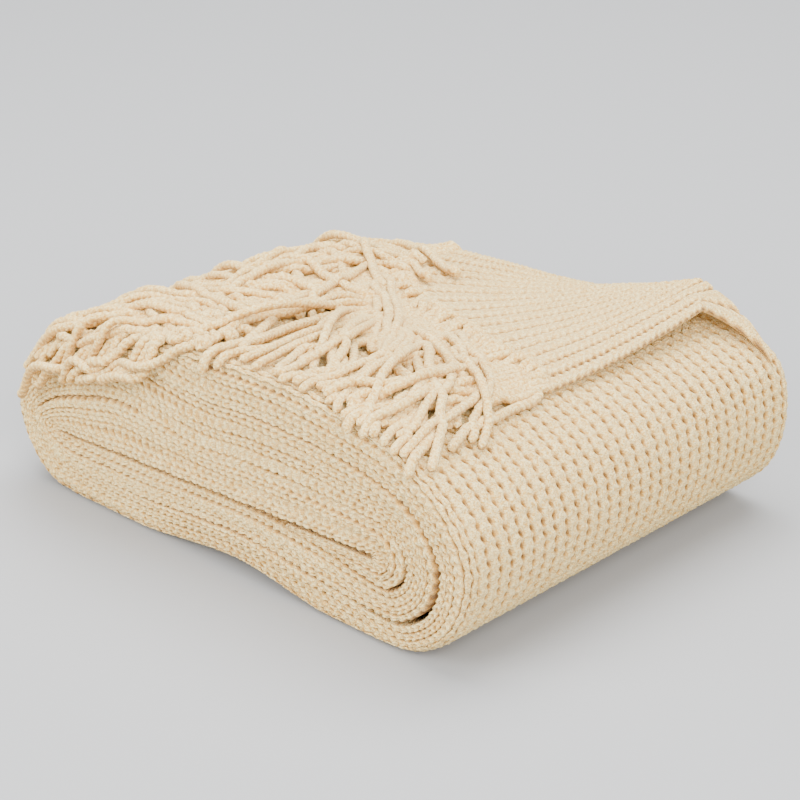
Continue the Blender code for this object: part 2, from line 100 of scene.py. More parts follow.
# The loose end: one layer fanned over the top, from its near selvage to its back one.
FAN_START = [(0.162, 0.144), (0.143, 0.155), (0.122, 0.158), (0.100, 0.158),
             (0.078, 0.158), (0.060, 0.158), (0.046, 0.158), (0.036, 0.158)]
FAN_BEND = [(0.164, 0.060), (0.145, 0.070), (0.122, 0.080), (0.097, 0.092),
            (0.070, 0.106), (0.040, 0.118), (0.010, 0.134), (-0.020, 0.152)]
FAN_ROOT = [(0.157, -0.033), (0.136, -0.018), (0.103, -0.012), (0.066, 0.004),
            (0.020, 0.022), (-0.032, 0.048), (-0.066, 0.094), (-0.080, 0.150)]
FAN_LIFT = 0.019
FAN_LIFT_REACH = 0.85
RIM_FROM = HALF_LENGTH - EDGE_ROUNDING
FLAP_RIBS = 17
FLAP_LENGTH = 0.205
CORNER_REACH = 0.040
CORNER_ACROSS = 0.13
CORNER_ALONG = 0.16
CORNER_LIES = 0.22
CORNER_SINK = 0.0032
CLOTH_CLEARANCE = 0.0008
FAN_SPREAD = 0.9
LIFT_FADE = 1.5
CORNER_FLATNESS = 0.95
BESIDE_FROM = 0.150
BESIDE_OVER = 0.030
MOST_OVER_RIM = 0.95
LOOSE_RISE = 0.0034
LOOSE_PIT = 0.0014
# How much stronger the painted shade of pits and furrows is on the loose end.
LOOSE_SHADE_GAIN = 1.25
LOOSE_SWAY = 0.6
SELVAGE_ROUNDING = 0.5
# Painted shade on the loose end's lower face.
UNDERSIDE_SHADE = 0.25

# The plan on which heights are kept, a little past the roll on every side.
GRID_STEP = 0.002
GRID_X = np.arange(-0.26, 0.2601, GRID_STEP)
GRID_Y = np.arange(-HALF_LENGTH - 0.02, HALF_LENGTH + 0.0101, GRID_STEP)
PLACES_PER_SPAN = 8
BESIDE_THE_ROLL = -0.2
COVER_ACROSS = 500
COVER_ALONG = 400

# Fringe: one yarn to a strand.
STRAND_RADIUS = 0.0031
STRAND_NODES = 25
STRAND_RINGS = 4
STRAND_SIDES = 9
STRAND_TWIST = 0.0048
UPPER_STRANDS = 72
LOWER_STRANDS = 98
LOWER_ROOT_X = (-0.110, -0.015)
LOWER_ROOT_Y = (-0.156, 0.090)
UPPER_LIMIT = -0.158
LOWER_LIMIT = -0.168
NEAR_WALL = -0.174
LEFT_LIMIT = -0.216
RIGHT_LIMIT = 0.163
LEFT_SPREAD = 0.010
NEAR_SPREAD = 0.014
RIGHT_SPREAD = 0.012
ROOT_ALONG = 0.975
ROOT_DEPTH = 0.5
STRAND_SWAY = (10, 55)
STRAND_WAVES = (0.6, 1.5)
TURNED_BY = (0.15, 0.50)
THICKNESS_SPREAD = (0.88, 1.10)
LEAST_STEPS = 4

# Headings of the upper strands in degrees: shares of the edge, then the headings there.
ROOT_HEADINGS = ((0.0, 0.12, 0.3, 0.5, 0.7, 1.0), (-94, -98, -110, -122, -138, -176))
TIP_HEADINGS = ((0.0, 0.12, 0.3, 0.5, 0.75, 1.0), (-98, -84, -66, -60, -68, -150))
ROOT_SPREAD = (-30, 26)
TIP_SPREAD = (-40, 34)
UPPER_LENGTHS = (0.150, 0.185)
MIDDLE_EXTRA = 0.035

# The lower strands' headings, lengths and crowding towards the near end.
LOWER_ROOT_HEADING = 180
LOWER_ROOT_SPREAD = (-30, 30)
LOWER_TIP_HEADING = 184
LOWER_TIP_SPREAD = (-52, 60)
LOWER_LENGTHS = (0.100, 0.165)
LOWER_CROWDING = 1.4
LEAST_FREEDOM = 0.45

# How thick a strand is along and around itself, and where shade is painted on its lower side.
UNDERSIDE_SHADE_FROM = 0.5
UNDERSIDE_SHADE_FADE = 0.9
PLY_RELIEF = 0.07
PILE_RELIEF = 0.08
ROOT_GIRTH = 0.75
TIP_GIRTH = 0.80
CAP_LENGTH = 0.6

# How the strands fall and come to rest.
PINNED_NODES = 2
SETTLING_ROUNDS = 260
FALL = 0.0006
LAST_FALL = 0.0002
FALLING_SHARE = 0.8
STIFFNESS = 0.18
NEARBY = 0.006
NEARBY_EVERY = 8
NEIGHBOURS = 3
PUSH = 1.3
SLOPE_STEP = 0.002
GRIP_FROM = 0.7
GRIP_OVER = 0.8
STEEPEST = 2
ARCHES = (0.0, 0.0, 0.003, 0.006, 0.010, 0.014)
ARCH_SKEW = 1.7
STACKED = 4
STACK_STEP = 2.2
DROP_FROM = (0.001, 0.006)
RISING_NODES = 4.0
LOWEST_TOP = 0.05
PAST_RIM = 0.98
RIM_DROP = 0.016
RIM_DROP_OVER = 0.006

# Knit relief, in shares of a rib or a course, with heights in metres.
RIB_STEPS = (0.0, 0.07, 0.16, 0.30, 0.50, 0.70, 0.84, 0.93)
COURSE_STEPS = (0.0, 0.14, 0.32, 0.50, 0.68, 0.86)
COARSE_RIBS = (0.0, 0.10, 0.28, 0.50, 0.72, 0.90)
FIFTHS = (0.0, 0.2, 0.4, 0.6, 0.8)
QUARTERS = (0.0, 0.25, 0.5, 0.75)
THIRDS = (0.0, 0.33, 0.67)
RIB_RISE = 0.0024
PIT_DEPTH = 0.0026
CHEVRON = 0.0007
FURROW_SWAY = 0.07
RIB_ROUNDNESS = 0.6
PIT_WIDTH = 0.13
PIT_LENGTH = 0.24
KNIT_LUMP = 0.00032
RIB_GROOVE = 0.0005
GROOVE_WIDTH = 0.07
FURROW_WIDTH = 0.11
LEG_WIDTH = 0.2
SWAY_WIDTH = 0.3
CLOTH_SWAY = 0.06

# The layers' edges at the roll's ends, and how they lie under the outer skin.
EDGE_STEPS = (0.0, 0.15, 0.32, 0.50, 0.68, 0.85)
EDGE_LEG = 0.00075
EDGE_PIT = 0.0030
EDGE_PIT_WIDTH = 0.22
EDGE_FURROW = 0.0019
EDGE_FURROW_WIDTH = 0.17
FURROW_SHARPNESS = 1.5
EDGE_LUMP = 0.0006
EDGE_TUCK = 0.012
LAYER_WANDER = 0.16
SETBACK = 0.0012
SETBACK_DRIFT = 0.0013
SETBACK_RIPPLE = 0.0006
OUTER_SETBACK = 0.0016
OUTER_SETBACK_LAYERS = 0.8
SKIN_OVERLAP = 0.0034
MOST_OVERLAP = 0.9
FLANK_OVERLAP = 2.5

# The skin's narrow ribs at the roll's ends, each half a rib wide.
NARROW_SHARE = 0.5
NARROW_RELIEF = 0.75
NARROW_REACH = 0.9
COURSE_SHIFT = 3.0

# The skin's lip inside the roll's ends: back from the rim, further in, and rib number.
LIP = [(0.0006, 0.0014, 1), (0.0030, 0.0022, 1.2), (0.0080, 0.0024, 1.5)]

# Where the outer turn's pieces meet, in spans.
TOP_TO = 5.0
FRONT_TO = 10.0
UNDER_TO = 14.0
LEFT_TO = SPANS + 1.7

# One seed for each piece and each set of plans.
SEEDS = {
    "outer_turn_top": 11, "outer_turn_front": 23, "outer_turn_under": 31,
    "outer_turn_left": 37, "turn_edges_near": 41, "turn_edges_far": 53,
    "loose_end_cloth": 61, "lower_fringe_strands": 71, "upper_fringe_strands": 73,
    "upper_plans": 7, "lower_plans": 21, "fringes": 5,
}

# Strengths of the stitches, legs and openings: a level and how far it varies.
STITCH_STRENGTH = (0.62, 0.38)
DRIFT_STRENGTH = (0.85, 0.3)
LEG_STRENGTH = (0.45, 0.55)
EDGE_STRENGTH = (0.55, 0.45)
OPEN_BETWEEN_LAYERS = (0.72, 0.50)
OPEN_WITHIN_LAYERS = (0.40, 0.30)

# How fast each kind of unevenness changes, per rib, stitch or layer and per course.
PACE = {
    "stitch": (7.31, 5.17), "drift": (0.23, 0.31), "lump": (3.1, 2.3),
    "furrow": (3.7, 0.0), "sway": (0.5, 0.35), "edge_opening": (3.3, 0.06),
    "edge_lump": (2.1, 2.6), "edge_tint": (1.9, 0.03), "layer_wander": (0.05, 1.0),
    "setback": (0.04, 1.7), "ripple": (0.5, 2.3),
}

# How much each feature shows in the painted shade of the colour: pits, furrows and grooves darker,
# raised legs lighter, strands' lower sides darker; the layers' edges also get a real random tone.
KNIT_SHADES = {"pit": 1.35, "furrow": 0.42, "groove": 0.16, "leg": 0.22}
EDGE_SHADES_AND_TONE = {"pit": 1.35, "furrow": 0.55, "leg": 0.16, "drift": 0.10}
YARN_SHADES = {"plain": 0.06, "ply": 0.24, "rough": 0.16, "painted_underside_shade": 0.42}

# Colours, and the sizes and strengths of the pile's texture.
CREAM = (1.0, 0.80, 0.375, 1.0)
TAN = (0.80, 0.47, 0.11, 1.0)
# Gold and brown: painted shade, mixed in where the per-vertex shade value is high.
GOLD_SHADE = (0.60, 0.29, 0.045, 1.0)
BROWN_SHADE = (0.16, 0.055, 0.008, 1.0)
WARM_PATCH = (0.88, 0.65, 0.27, 1.0)
SHEEN_TINT = (1.0, 0.88, 0.62, 1.0)
FLOOR_GREY = (0.345, 0.350, 0.358, 1.0)
TUFTS_SCALE = 750.0
FUZZ_SCALE = 620.0
FUZZ_ROUGHNESS = 0.65
PATCHES_SCALE = 45.0
# Ramp of the mottle, tan to cream; the cream specks are partly painted glints of the pile.
GRAIN_AND_GLINT_FROM = 0.42
GRAIN_AND_GLINT_TO = 0.52
BUMP_DISTANCE = 0.0013
CLOTH_FUZZ = 1.0
YARN_FUZZ = 0.8

# Warm patches of real tone, then gold and brown painted shade, over the cream: colour, then the
# mask's start, end and most.
OVERLAYS = (
    (WARM_PATCH, 0.45, 0.75, 0.35),
    (GOLD_SHADE, 0.0, 0.45, 0.80),
    (BROWN_SHADE, 0.40, 1.0, 0.85),
)

# Floor and lamps: each lamp's name, place, target, size and power.
FLOOR_NEAR = -3.0
FLOOR_BEND = 1.6
BEND_RADIUS = 0.8
BEND_STEPS = 12
WALL_TOP = 3.5
FLOOR_HALF_WIDTH = 4.0
ROOM_LIGHT = 1.05
LAMPS = (
    ("overhead", (-0.3, 0.6, 2.6), (-0.1, 0.2, 0.0), 2.4, 185.0),
    ("front_right", (1.6, -0.9, 1.1), (0.0, 0.0, 0.05), 1.2, 62.0),
    ("front_left", (-0.7, -1.8, 0.9), (0.0, 0.0, 0.05), 1.4, 58.0),
)

# The photograph's view.
CAMERA_AZIMUTH = 43.54
CAMERA_ELEVATION = 24.24
CAMERA_DISTANCE = 1.522
CAMERA_TARGET = (0.0, 0.0, 0.06)
CAMERA_OFFSET = (-0.0027, -0.0066)
FOCAL_PIXELS = 2261
PICTURE_SIZE = 800
SENSOR = 36.0


def smooth_step(value):
    """Ease from 0 to 1."""
    value = np.clip(value, 0.0, 1.0)
    return value * value * (3.0 - 2.0 * value)


def catmull(before, start, end, after, t):
    """Catmull-Rom point between start and end."""
    return 0.5 * (2.0 * start + (end - before) * t
                  + (2.0 * before - 5.0 * start + 4.0 * end - after) * t ** 2
                  + (3.0 * (start - end) + after - before) * t ** 3)


def closed_curve(corners, place):
    """Points of a closed curve at places counted in spans."""
    corners = np.array(corners, float)
    span = np.floor(place).astype(int)
    t = (place - span)[..., None]
    picks = [corners[(span + shift) % len(corners)] for shift in (-1, 0, 1, 2)]
    return catmull(*picks, t)


def open_curve(corners, share):
    """Points of an open curve at shares of its length in spans."""
    corners = np.array(corners, float)
    last = len(corners) - 1
    place = np.clip(share, 0.0, 1.0) * last
    span = np.minimum(np.floor(place).astype(int), last - 1)
    t = (place - span)[..., None]
    picks = [corners[np.clip(span + shift, 0, last)] for shift in (-1, 0, 1, 2)]
    return catmull(*picks, t)


def on_floor(curve, place):
    """Nothing below the floor, and the two resting stretches on it."""
    span = np.floor(place).astype(int) % SPANS
    resting = (span == RESTING_SPANS[0]) | (span == RESTING_SPANS[1])
    curve[..., 1] = np.where(resting, 0.0, np.maximum(curve[..., 1], 0.0))
    return curve


def outline(place, y):
    """The roll's outer outline as (x, z), for places in spans and sections at y."""
    place, y = np.broadcast_arrays(np.asarray(place, float), np.asarray(y, float))
    share = np.clip((y + HALF_LENGTH) / ROLL_LENGTH, 0.0, 1.0)
    near = on_floor(closed_curve(NEAR_OUTLINE, place), place)
    far = on_floor(closed_curve(FAR_OUTLINE, place), place)
    curve = near + (far - near) * share[..., None]
    leftness = smooth_step((curve[..., 0] - CROWN_X[0]) / (CROWN_X[1] - CROWN_X[0]))
    upper = smooth_step(curve[..., 1] / CROWN_RISE - CROWN_START)
    curve[..., 1] += SHOULDER_CROWN * 4.0 * share * (1.0 - share) * leftness * upper
    return curve


def core(x, y):
    """Where the turns would end if the outline at x closed all the way in."""
    share = np.clip((y + HALF_LENGTH) / ROLL_LENGTH, 0.0, 1.0)
    low, high = (near + (far - near) * share
                 for near, far in zip(CORE_HEIGHT_NEAR, CORE_HEIGHT_FAR))
    inner = np.clip(x * CORE_SPREAD, CORE_LEFT, CORE_RIGHT)
    height = low + (high - low) * (inner - CORE_LEFT) / (CORE_RIGHT - CORE_LEFT)
    return np.stack((inner, height), axis=-1)


def boundary_depth(turn, span):
    """How far in the boundary before a turn lies, from 0 outside to 1 at the core."""
    turn = np.clip(turn, 0, TURNS)
    nearness = np.maximum(smooth_step((span - LEFT_FROM) / LEFT_FADE),
                          1.0 - smooth_step(span / LEFT_FADE))
    even = np.array(EVEN_DEPTHS)[turn]
    return even + (np.array(LEFT_DEPTHS)[turn] - even) * nearness


def outer_depth(place):
    """Depth of the strip's outer face at a place along the winding."""
    turn = np.floor(place / SPANS).astype(int)
    span = place - turn * SPANS
    ramp = smooth_step((span - RAMP_FROM) / RAMP_SPANS)
    outside = boundary_depth(turn - 1, span)
    return outside + (boundary_depth(turn, span) - outside) * ramp


def gap_inside(place):
    """Gap between the strip and the turn inside it, slack round the right-hand bend."""
    turn = np.floor(place / SPANS)
    span = place - turn * SPANS
    start, stop = SLACK_SPANS
    share = np.clip((span - start) / (stop - start), 0.0, 1.0)
    return TURN_GAP + SLACK * np.sin(math.pi * share) / (turn + 1)


def strip_point(place, y, within):
    """A point of the wound strip: within runs from its outer face, 0, to its inner, 1."""
    place, y, within = np.broadcast_arrays(*(np.asarray(a, float) for a in (place, y, within)))
    outer = outline(place, y)
    across = core(outer[..., 0], y) - outer
    length = np.linalg.norm(across, axis=-1)
    outside = outer_depth(place)
    inside = np.where(place < 2 * SPANS, outer_depth(place + SPANS), CORE_DEPTH)
    inside = inside - gap_inside(place) / length
    depth = outside + (inside - outside) * within
    section = outer + across * depth[..., None]
    return np.stack((section[..., 0], y, section[..., 1]), axis=-1)


def even_places(start, stop, steps_per_course):
    """Places along the winding whose steps follow the knit's courses, and their courses."""
    fine = np.linspace(start, stop, int((stop - start) * WALKING_STEPS) + 1)
    middle = strip_point(fine, 0.0, WALKING_DEPTH)
    walked = np.append(0.0, np.cumsum(np.linalg.norm(np.diff(middle, axis=0), axis=1)))
    courses = round(walked[-1] / COURSE)
    knots = np.append(np.add.outer(np.arange(courses), steps_per_course).ravel(), courses)
    return np.interp(knots / courses * walked[-1], walked, fine), knots


def lattice_noise(shape, seed):
    """A wrapped table of even random numbers, from -1 to 1."""
    return np.random.default_rng(seed).uniform(-1.0, 1.0, shape)


def smooth_noise(a, b, seed, size=64):
    """Smooth noise over two coordinates, from -1 to 1."""
    table = lattice_noise((size, size), seed)
    i, j = np.floor(a).astype(int), np.floor(b).astype(int)
    u, v = smooth_step(a - i), smooth_step(b - j)
    low = table[i % size, j % size] * (1 - u) + table[(i + 1) % size, j % size] * u
    high = table[i % size, (j + 1) % size] * (1 - u) + table[(i + 1) % size, (j + 1) % size] * u
    return low * (1 - v) + high * v


def level(middle_and_spread, value):
    """The first number, plus the second times the value."""
    return middle_and_spread[0] + middle_and_spread[1] * value


def unit(vectors):
    """Vectors of length 1."""
    return vectors / np.maximum(np.linalg.norm(vectors, axis=-1, keepdims=True), 1e-12)


def uneven(kind, a, b, seed):
    """Smooth noise at the pace of one kind of unevenness."""
    return smooth_noise(a * PACE[kind][0], b * PACE[kind][1], seed)


def peak(distance, width):
    """A soft peak, 1 where the distance is 0."""
    return np.exp(-(distance / width) ** 2)


def knit(rib, course, seed, rise=RIB_RISE, pit=PIT_DEPTH):
    """Relief of ribbed knit: its height, its painted shade (darker in pits and furrows, lighter on
    raised legs), and its furrows' sideways sway.
    """
    nearest = np.round(rib)
    away = np.abs(rib - nearest)
    bow = np.sin(math.pi * away) ** RIB_ROUNDNESS
    row = np.round(course)
    strength = level(STITCH_STRENGTH, uneven("stitch", nearest, row, seed))
    strength *= level(DRIFT_STRENGTH, uneven("drift", nearest, row, seed + 1))
    hole = np.exp(-(away / PIT_WIDTH) ** 2 - ((course - row) / PIT_LENGTH) ** 2) * strength
    legs = np.cos(2 * math.pi * (course - 0.5 + away))
    legs = legs * level(LEG_STRENGTH, peak(away, LEG_WIDTH))
    lumps = uneven("lump", rib, course, seed + 2)
    groove = peak(away - 0.5, GROOVE_WIDTH)
    height = (rise * (bow - 1.0) - pit * hole + CHEVRON * legs + KNIT_LUMP * lumps
              - RIB_GROOVE * groove)
    # Painted shade: brown in the pits, tan along the furrows and grooves, lighter on the raised
    # legs.
    painted_shade_and_tone = (hole * KNIT_SHADES["pit"] + KNIT_SHADES["furrow"] * peak(away, FURROW_WIDTH)
              + KNIT_SHADES["groove"] * groove - KNIT_SHADES["leg"] * legs)
    painted_shade_and_tone = np.clip(painted_shade_and_tone, 0.0, 1.0)
    phase = uneven("furrow", nearest, nearest, seed + 3)
    sway = FURROW_SWAY * np.sin(2 * math.pi * (course * 0.5 + phase)) * peak(away, SWAY_WIDTH)
    sway += CLOTH_SWAY * uneven("sway", rib, course, seed + 4)
    return height, painted_shade_and_tone, sway


def edge_knit(stitch, course, seed):
    """Relief of the layers' edges: two rows of slanting stitches to a layer, with their pits."""
    nearest = np.round(stitch)
    away = np.abs(stitch - nearest)
    zigzag = np.abs(stitch - 2.0 * np.round(stitch / 2.0))
    phase = course + 0.5 * zigzag
    row = np.round(phase)
    strength = level(EDGE_STRENGTH, uneven("stitch", nearest, row, seed))
    openness = uneven("edge_opening", nearest, course, seed + 1)
    between_layers = nearest % 2 == 0
    weight = np.where(between_layers, level(OPEN_BETWEEN_LAYERS, openness),
                      level(OPEN_WITHIN_LAYERS, openness))
    hole = np.exp(-(away / EDGE_PIT_WIDTH) ** 2 - ((phase - row) / EDGE_PIT_WIDTH) ** 2)
    hole = hole * strength * weight
    furrow = peak(away, EDGE_FURROW_WIDTH) * weight
    legs = -np.cos(2 * math.pi * phase)
    lumps = uneven("edge_lump", stitch, course, seed + 2)
    height = EDGE_LEG * legs - EDGE_PIT * hole - EDGE_FURROW * furrow ** FURROW_SHARPNESS
    height = height + EDGE_LUMP * lumps
    # Painted shade in pits and furrows, lighter on raised legs, plus a real random tone that
    # drifts from one row of stitches to the next.
    drift = EDGE_SHADES_AND_TONE["drift"] * uneven("edge_tint", nearest, course, seed + 7)
    painted_shade_and_tone = (EDGE_SHADES_AND_TONE["pit"] * hole + EDGE_SHADES_AND_TONE["furrow"] * furrow
              - EDGE_SHADES_AND_TONE["leg"] * legs + drift)
    return height, np.clip(painted_shade_and_tone, 0.0, 1.0)


def grid_normals(points):
    """Unit normals of a grid of points."""
    return unit(np.cross(np.gradient(points, axis=0), np.gradient(points, axis=1)))


def faces_between(index):
    """Quads between the rows and columns of a grid of vertex numbers."""
    quads = np.stack((index[:-1, :-1], index[:-1, 1:], index[1:, 1:], index[1:, :-1]), axis=-1)
    return quads.reshape(-1, 4)


def grid_faces(rows, columns, flip=False):
    """Quads of a grid of vertices stored row by row."""
    quads = faces_between(np.arange(rows * columns).reshape(rows, columns))
    return quads[:, ::-1] if flip else quads


def make_piece(name, points, quads, painted_shade_and_tone, material):
    """A smooth mesh with a value per vertex that sets its painted shade, with a little real tone
    on the layers' edges.
    """
    mesh = bpy.data.meshes.new(name)
    mesh.vertices.add(len(points))
    mesh.vertices.foreach_set("co", np.asarray(points, np.float32).ravel())
    mesh.loops.add(quads.size)
    mesh.loops.foreach_set("vertex_index", np.asarray(quads, np.int32).ravel())
    mesh.polygons.add(len(quads))
    mesh.polygons.foreach_set("loop_start", np.arange(0, quads.size, 4, dtype=np.int32))
    mesh.polygons.foreach_set("use_smooth", np.ones(len(quads), bool))
    mesh.update(calc_edges=True)
    mesh.validate()
    layer = mesh.attributes.new("painted_shade_and_tone", "FLOAT", "POINT")
    layer.data.foreach_set("value", np.asarray(painted_shade_and_tone, np.float32).ravel())
    mesh.materials.append(material)
    piece = bpy.data.objects.new(name, mesh)
    bpy.context.scene.collection.objects.link(piece)
    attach(piece, "root")
    return piece


def skin_profile(steps):
    """Positions across the roll: y, depth under the outline, and rib, rolled over both ends."""
    ribs = np.append(np.add.outer(np.arange(1, RIBS - 1), steps).ravel(), RIBS - 1)
    flat = [(-HALF_LENGTH + rib * RIB_PITCH, 0.0, rib) for rib in ribs]
    radius = EDGE_ROUNDING
    far = []
    for rib in np.add.outer((0.0, 1.0), steps).ravel()[1:]:
        angle = rib * NARROW_SHARE * RIB_PITCH / radius
        far.append((HALF_LENGTH - radius + radius * math.sin(angle),
                    radius * (1.0 - math.cos(angle)), RIBS - 1 + rib))
    y, depth, _ = far[-1]
    far += [(y - back, depth + deeper, RIBS + rib) for back, deeper, rib in LIP]
    near = [(-y, depth, RIBS - rib) for y, depth, rib in reversed(far)]
    return np.array(near + flat + far)


def build_skin(name, start, stop, rib_steps, course_steps, material):
    """Part of the outer turn: ribs run with the winding, and both ends are rolled over."""
    profile = skin_profile(rib_steps)
    places, courses = even_places(start, stop, course_steps)
    y, sunk, rib = (profile[:, i][None, :] for i in range(3))
    place = places[:, None]
    base = strip_point(place, y, 0.0)
    inward = unit(strip_point(place, y, 1.0) - base)
    base = base + inward * sunk[..., None]
    course = np.broadcast_to(courses[:, None] + start * COURSE_SHIFT, base.shape[:2])
    rib = np.broadcast_to(rib, base.shape[:2])
    height, painted_shade_and_tone, sway = knit(rib, course, SEEDS[name])
    narrow = (rib > RIBS - NARROW_REACH) | (rib < NARROW_REACH)
    height = np.where(narrow, NARROW_RELIEF * height, height)
    normal = grid_normals(base)
    if np.sum(normal * inward) > 0:
        normal = -normal
    across = unit(np.gradient(base, axis=1))
    points = base + normal * height[..., None] + across * (sway * RIB_PITCH)[..., None]
    points[..., 2] = np.maximum(points[..., 2], 0.0)
    quads = grid_faces(*base.shape[:2])
    return make_piece(name, points.reshape(-1, 3), quads, painted_shade_and_tone, material)


def build_turn_edges(name, side, rib_steps, course_steps, material):
    """The four layers' edges at one end of the roll, wound with the strip.

    At the strip's outer end the layers keep their thickness and end one after another.
    """
    seed = SEEDS[name]
    places, courses = even_places(STRIP_START, STRIP_END, course_steps)
    rows = 2 * LAYERS
    stitches = np.append(np.add.outer(np.arange(rows), rib_steps).ravel(), rows)
    stitches = np.concatenate(([0.0], stitches, [rows]))
    place, course = places[:, None], courses[:, None]
    stitch = np.broadcast_to(stitches[None, :], (len(places), len(stitches)))
    layer = stitch / 2.0
    inside = np.sin(math.pi * layer / LAYERS) > 0.01
    wandering = uneven("layer_wander", course, np.round(layer) + 3.0, seed)
    layer = layer + LAYER_WANDER * inside * wandering
    full = np.where(place < SPANS / 2, smooth_step((place - RAMP_FROM) / RAMP_SPANS), 1.0)
    within = np.clip(1.0 - (LAYERS - layer) / (LAYERS * np.maximum(full, 0.01)), 0.0, 1.0)
    missing = within <= 0.0
    missing[:, :2] = (full < 0.999) & missing[:, 2:3]
    outer_turn = place < SPANS + 0.5
    thickness = full * LAYERS * LAYER_THICKNESS
    least = SKIN_OVERLAP / np.maximum(thickness, SKIN_OVERLAP / MOST_OVERLAP)
    least = np.where(outer_turn, least, 0.0)
    within = np.maximum(within, least)
    height, painted_shade_and_tone = edge_knit(stitch, np.broadcast_to(course, stitch.shape), seed)
    number = np.minimum(np.floor(stitch / 2.0), LAYERS - 1)
    setback = SETBACK + SETBACK_DRIFT * uneven("setback", course, number, seed + 5)
    setback = setback + SETBACK_RIPPLE * uneven("ripple", course, number, seed + 6)
    turned = np.clip(1.0 - within * thickness / EDGE_ROUNDING, 0.0, 1.0)
    setback = setback + outer_turn * EDGE_ROUNDING * (1.0 - np.sqrt(1.0 - turned ** 2))
    outermost = smooth_step(1.0 - layer / OUTER_SETBACK_LAYERS)
    setback = setback + outer_turn * OUTER_SETBACK * outermost
    reach = HALF_LENGTH - setback + height
    reach[:, [0, -1]] -= EDGE_TUCK
    flank = np.minimum(FLANK_OVERLAP * least[:, 0], 1.0)
    within[:, 0] = np.where(outer_turn[:, 0], flank, within[:, 0])
    points = strip_point(place, side * reach, within)
    quads = grid_faces(*stitch.shape, flip=side < 0)
    present = ~missing.ravel()[quads].all(axis=1)
    return make_piece(name, points.reshape(-1, 3), quads[present], painted_shade_and_tone, material)


def height_grid(clearance):
    """Height of the roll's top over the plan, raised by a ball of the given radius."""
    places = np.linspace(0.0, SPANS, SPANS * PLACES_PER_SPAN, endpoint=False)
    heights = []
    for y in GRID_Y:
        curve = outline(places, y)
        left, right = int(np.argmin(curve[:, 0])), int(np.argmax(curve[:, 0]))
        chain = np.roll(curve, -left, axis=0)[:(right - left) % len(places) + 1]
        chain = chain[np.argsort(chain[:, 0])]
        top = np.interp(GRID_X, chain[:, 0], chain[:, 1],
                        left=BESIDE_THE_ROLL, right=BESIDE_THE_ROLL)
        raised = top + clearance
        reach = int(clearance / GRID_STEP)
        for shift in range(-reach, reach + 1):
            ball = math.sqrt(clearance ** 2 - (shift * GRID_STEP) ** 2)
            raised = np.maximum(raised, np.roll(top, shift) + ball)
        heights.append(raised)
    return np.array(heights)


def look_up(grid, x, y):
    """Bilinear look-up in a height grid."""
    across = np.clip((x - GRID_X[0]) / GRID_STEP, 0, len(GRID_X) - 1.001)
    along = np.clip((y - GRID_Y[0]) / GRID_STEP, 0, len(GRID_Y) - 1.001)
    i, j = across.astype(int), along.astype(int)
    u, v = across - i, along - j
    return ((grid[j, i] * (1 - u) + grid[j, i + 1] * u) * (1 - v)
            + (grid[j + 1, i] * (1 - u) + grid[j + 1, i + 1] * u) * v)


def corner_share(across, along):
    """1 at the loose end's far right corner, fading along its first ribs."""
    return (np.maximum(0.0, 1.0 - across / CORNER_ACROSS)
            * np.maximum(0.0, 1.0 - along / CORNER_ALONG) ** 2)


def fan_plan(across, along):
    """Plan points of the loose end: across from its near selvage, along from its start."""
    across, along = np.broadcast_arrays(np.asarray(across, float), np.asarray(along, float))
    start = open_curve(FAN_START, across)
    bend = open_curve(FAN_BEND, across)
    root = open_curve(FAN_ROOT, across)
    t = along[..., None]
    plan = start * (1 - t) ** 2 + bend * 2 * t * (1 - t) + root * t ** 2
    plan[..., 0] += CORNER_REACH * corner_share(across, along)
    return plan


def fan_lift(across, along):
    """How far the loose end stands off the roll, most behind its far right corner."""
    lift = FAN_LIFT * np.maximum(0.0, 1.0 - across / FAN_LIFT_REACH)
    lift = lift * np.maximum(0.0, 1.0 - along) ** LIFT_FADE
    corner = (np.maximum(0.0, 1.0 - across / CORNER_LIES)
              * np.maximum(0.0, 1.0 - along / CORNER_ALONG))
    return lift * (1.0 - CORNER_FLATNESS * corner) - CORNER_SINK * corner


def blurred(grid, rounds):
    """A height grid with its steps eased."""
    for _ in range(rounds):
        padded = np.pad(grid, 1, mode="edge")
        grid = (padded[1:-1, 1:-1] * 2 + padded[:-2, 1:-1] + padded[2:, 1:-1]
                + padded[1:-1, :-2] + padded[1:-1, 2:]) / 6.0
    return grid


